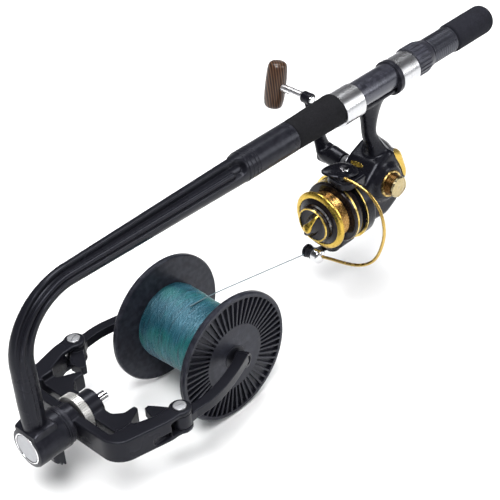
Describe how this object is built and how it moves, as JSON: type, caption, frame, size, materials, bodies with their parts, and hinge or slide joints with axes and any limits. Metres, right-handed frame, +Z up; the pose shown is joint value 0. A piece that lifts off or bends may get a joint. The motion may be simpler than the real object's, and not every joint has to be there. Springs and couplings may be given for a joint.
{
  "type": "fishing line winder",
  "caption": "Rod handle with a spinning reel and a curved arm whose swivelling bracket holds a line spool, for winding line on to the reel.",
  "frame": {"origin": "middle of the rear grip, on the rod's axis", "axes": "+X along the rod towards its butt, +Z up, -Y the side that the line spool's ribbed flange faces"},
  "size_m": [0.4679, 0.1542, 0.1713],
  "materials": {
    "black_moulding": "satin",
    "black_matt": "matt",
    "foam": "matt foam",
    "polished_steel": "polished",
    "brushed_metal": "brushed",
    "grey_metal": "satin",
    "gold_metal": "polished",
    "bronze_metal": "satin",
    "dark_metal": "gloss",
    "spool_plastic": "satin",
    "line_blue": "satin",
    "clear_line": "clear",
    "wood": "oiled",
    "spring_steel": "drawn"
  },
  "bodies": {
    "winder": {"curved_arm": "black_moulding", "hub_end_cap": "grey_metal", "clamp_stud": "polished_steel", "handle_blank": "black_matt", "rear_grip": "foam", "butt_cap": "black_matt", "fore_grip": "foam", "seat_tube": "black_moulding", "fixed_hood": "brushed_metal", "reel_body": "dark_metal", "side_cover": "dark_metal", "cover_screws": "polished_steel", "cap_bezel": "gold_metal", "side_cap": "gold_metal", "rear_trim": "gold_metal", "reel_bearings": "brushed_metal"},
    "sliding_hood": {"sliding_hood": "brushed_metal", "hood_lip": "black_moulding"},
    "lock_nut": {"lock_nut": "black_matt"},
    "washer": {"swivel_washer": "black_matt"},
    "bracket": {"bracket_frame": "black_moulding", "pivot_pins": "grey_metal", "line_strand": "clear_line", "left_spring": "spring_steel", "right_spring": "spring_steel"},
    "thumb_wheel": {"thumb_wheel": "polished_steel"},
    "left_finger": {"left_finger": "black_moulding", "left_tip_cone": "black_matt"},
    "right_finger": {"right_finger": "black_moulding", "right_tip_cone": "black_matt"},
    "line_spool": {"spool_near_flange": "spool_plastic", "spool_far_flange": "spool_plastic", "spool_core": "spool_plastic", "line_pack": "line_blue"},
    "rotor": {"rotor_cup": "dark_metal", "arm_covers": "dark_metal", "rotor_ring": "gold_metal", "rotor_nut": "brushed_metal", "pinion_gear": "bronze_metal"},
    "bail": {"bail_wire": "gold_metal", "bail_hub": "dark_metal", "bail_screw": "polished_steel", "bail_lever": "dark_metal"},
    "line_roller": {"line_roller": "black_matt"},
    "reel_spool": {"spool_lip": "gold_metal", "spool_arbor": "bronze_metal", "spool_skirt": "dark_metal", "skirt_trim": "gold_metal", "drag_washers": "brushed_metal", "main_shaft": "polished_steel", "shaft_slider": "black_matt"},
    "drag_knob": {"drag_knob": "dark_metal", "drag_knob_trim": "gold_metal", "drag_button": "gold_metal"},
    "crank": {"drive_gear": "brushed_metal", "crank_hub": "dark_metal", "crank_arm": "dark_metal", "crank_joint_screw": "polished_steel", "knob_shaft": "polished_steel"},
    "knob": {"wooden_knob": "wood"}
  },
  "joints": [
    {"name": "hood_slide", "type": "slide", "parent": "winder", "child": "sliding_hood", "axis": [1, 0, 0], "range_m": [0, 0.01]},
    {"name": "lock_nut_turn", "type": "hinge", "parent": "sliding_hood", "child": "lock_nut", "pos_m": [-0.06975, 0, 0], "axis": [1, 0, 0], "range_deg": [0, 1440]},
    {"name": "washer_slide", "type": "slide", "parent": "winder", "child": "washer", "axis": [1, 0, 0], "range_m": [0, 0.0025]},
    {"name": "bracket_swivel", "type": "hinge", "parent": "washer", "child": "bracket", "pos_m": [-0.416, 0, -0.1072], "axis": [1, 0, 0], "range_deg": [-90, 90]},
    {"name": "thumb_wheel_turn", "type": "hinge", "parent": "bracket", "child": "thumb_wheel", "pos_m": [-0.4078, 0, -0.1072], "axis": [1, 0, 0], "range_deg": [0, 720]},
    {"name": "left_finger_swing", "type": "hinge", "parent": "bracket", "child": "left_finger", "pos_m": [-0.36175, -0.0525, -0.1072], "axis": [0, 0, -1], "range_deg": [0, 15], "stiffness_Nm_per_rad": 0.6, "springref_deg": -17.19},
    {"name": "right_finger_swing", "type": "hinge", "parent": "bracket", "child": "right_finger", "pos_m": [-0.36175, 0.0525, -0.1072], "axis": [0, 0, 1], "range_deg": [0, 15], "stiffness_Nm_per_rad": 0.6, "springref_deg": -17.19},
    {"name": "line_spool_spin", "type": "hinge", "parent": "bracket", "child": "line_spool", "pos_m": [-0.29575, 0, -0.1112], "axis": [0, 1, 0], "continuous": true},
    {"name": "crank_turn", "type": "hinge", "parent": "winder", "child": "crank", "pos_m": [-0.11085, 0, -0.0754], "axis": [0, 1, 0], "continuous": true},
    {"name": "knob_spin", "type": "hinge", "parent": "crank", "child": "knob", "pos_m": [-0.12053, 0.074, -0.0237], "axis": [0, 1, 0], "continuous": true},
    {"name": "rotor_spin", "type": "hinge", "parent": "winder", "child": "rotor", "pos_m": [-0.14085, 0, -0.0834], "axis": [1, 0, 0], "continuous": true},
    {"name": "bail_swing", "type": "hinge", "parent": "rotor", "child": "bail", "pos_m": [-0.15065, 0, -0.0834], "axis": [0, 0.2079, -0.9781], "range_deg": [0, 110]},
    {"name": "line_roller_spin", "type": "hinge", "parent": "bail", "child": "line_roller", "pos_m": [-0.17175, 0.0087, -0.1152], "axis": [0, 1, 0], "continuous": true},
    {"name": "reel_spool_slide", "type": "slide", "parent": "winder", "child": "reel_spool", "axis": [1, 0, 0], "range_m": [-0.01, 0]},
    {"name": "drag_knob_turn", "type": "hinge", "parent": "reel_spool", "child": "drag_knob", "pos_m": [-0.17485, 0, -0.0834], "axis": [1, 0, 0], "range_deg": [-720, 720]}
  ],
  "couplings": [
    {"joint": "lock_nut_turn", "follows": "hood_slide", "rad_per_m": 2513.3},
    {"joint": "thumb_wheel_turn", "follows": "washer_slide", "rad_per_m": 5026.5},
    {"joint": "rotor_spin", "follows": "crank_turn", "ratio": 5.2222}
  ]
}
